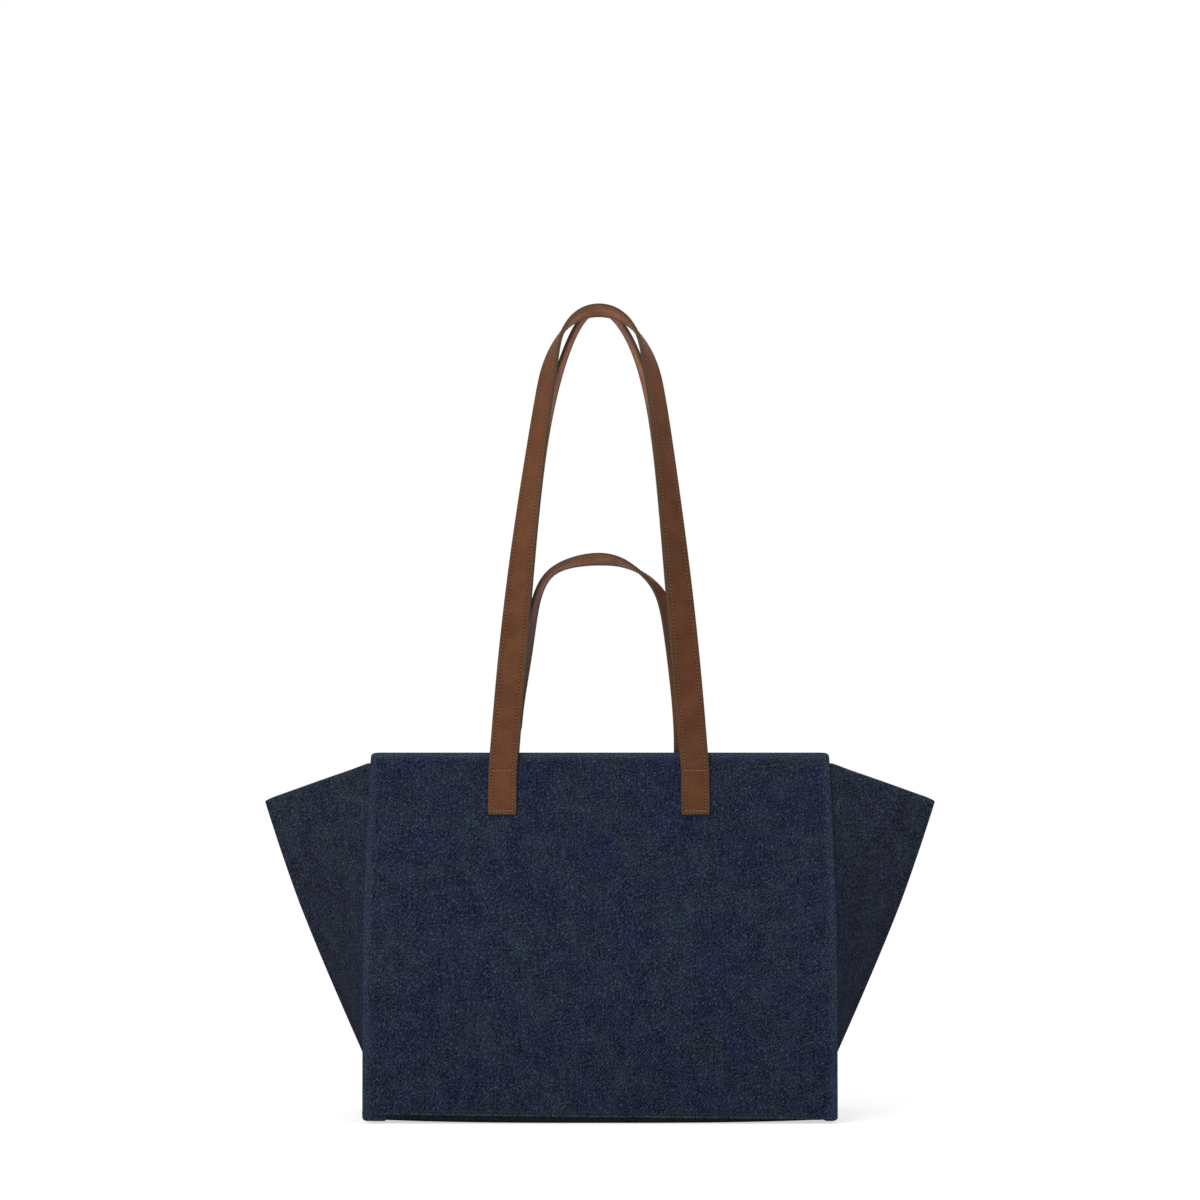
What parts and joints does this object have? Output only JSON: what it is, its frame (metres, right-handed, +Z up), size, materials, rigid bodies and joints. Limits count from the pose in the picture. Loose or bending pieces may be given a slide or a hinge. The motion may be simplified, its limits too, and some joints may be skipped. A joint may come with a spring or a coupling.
{
  "type": "trapeze tote bag",
  "caption": "Stiffened denim tote with outward side wings, a flat base, long leather shoulder handles and a short leather hand-carry handle.",
  "frame": {"origin": "middle of the base, on the surface that the bag stands on", "axes": "+Z up to the top of the long handles, +X to the right along the panels, +Y to the rear; the front faces -Y"},
  "size_m": [0.4714, 0.158, 0.5731],
  "materials": {
    "panel_denim": "dark indigo denim, fine twill, lightly speckled, worn at the rolled edges",
    "wing_denim": "the same denim, darker and less saturated in the wings and base",
    "lining": "dark plain-weave lining cloth",
    "interlining": "stiff non-woven interlining, hidden",
    "board": "brown fibre board, hidden",
    "strap_leather": "smooth brown leather with fine grain and painted dark edges",
    "strap_lining": "paler reddish brown leather underside",
    "thread": "waxed golden brown thread",
    "magnet_steel": "nickel-plated magnet disc, hidden in the wing"
  },
  "bodies": {
    "base": {"base_panel": "wing_denim", "base_board": "board", "base_lining": "lining"},
    "front_side": {"front_panel": "panel_denim", "front_interlining": "interlining", "front_lining": "lining", "front_facing": "panel_denim", "front_handle_backing": "board", "front_tab_left": "strap_leather", "front_tab_right": "strap_leather", "front_tab_threads": "thread", "left_wing_front": "wing_denim", "left_wing_front_lining": "lining", "left_front_magnet": "magnet_steel", "right_wing_front": "wing_denim", "right_wing_front_lining": "lining", "right_front_magnet": "magnet_steel"},
    "rear_side": {"rear_panel": "panel_denim", "rear_interlining": "interlining", "rear_lining": "lining", "rear_facing": "panel_denim", "rear_handle_backing": "board", "rear_tab_left": "strap_leather", "rear_tab_right": "strap_leather", "rear_tab_threads": "thread", "short_tab_left": "strap_leather", "short_tab_right": "strap_leather", "short_tab_threads": "thread", "left_wing_rear": "wing_denim", "left_wing_rear_lining": "lining", "left_rear_magnet": "magnet_steel", "right_wing_rear": "wing_denim", "right_wing_rear_lining": "lining", "right_rear_magnet": "magnet_steel"},
    "front_long_handle": {"front_long_handle": "strap_leather", "front_long_handle_lining": "strap_lining"},
    "rear_long_handle": {"rear_long_handle": "strap_leather", "rear_long_handle_lining": "strap_lining"},
    "short_handle": {"short_handle": "strap_leather", "short_handle_lining": "strap_lining"}
  },
  "joints": [
    {"name": "front_side_opens", "type": "hinge", "parent": "base", "child": "front_side", "pos_m": [0, -0.079, 0.0015], "axis": [1, 0, 0], "range_deg": [0, 8]},
    {"name": "rear_side_opens", "type": "hinge", "parent": "base", "child": "rear_side", "pos_m": [0, 0.079, 0.0015], "axis": [-1, 0, 0], "range_deg": [0, 8]},
    {"name": "front_long_handle_falls", "type": "hinge", "parent": "front_side", "child": "front_long_handle", "pos_m": [0, -0.02756, 0.2426], "axis": [1, 0, 0], "range_deg": [0, 135]},
    {"name": "rear_long_handle_falls", "type": "hinge", "parent": "rear_side", "child": "rear_long_handle", "pos_m": [0, 0.02756, 0.2426], "axis": [-1, 0, 0], "range_deg": [0, 135]},
    {"name": "short_handle_leans", "type": "hinge", "parent": "rear_side", "child": "short_handle", "pos_m": [0, 0.01776, 0.2426], "axis": [1, 0, 0], "range_deg": [0, 6]}
  ]
}
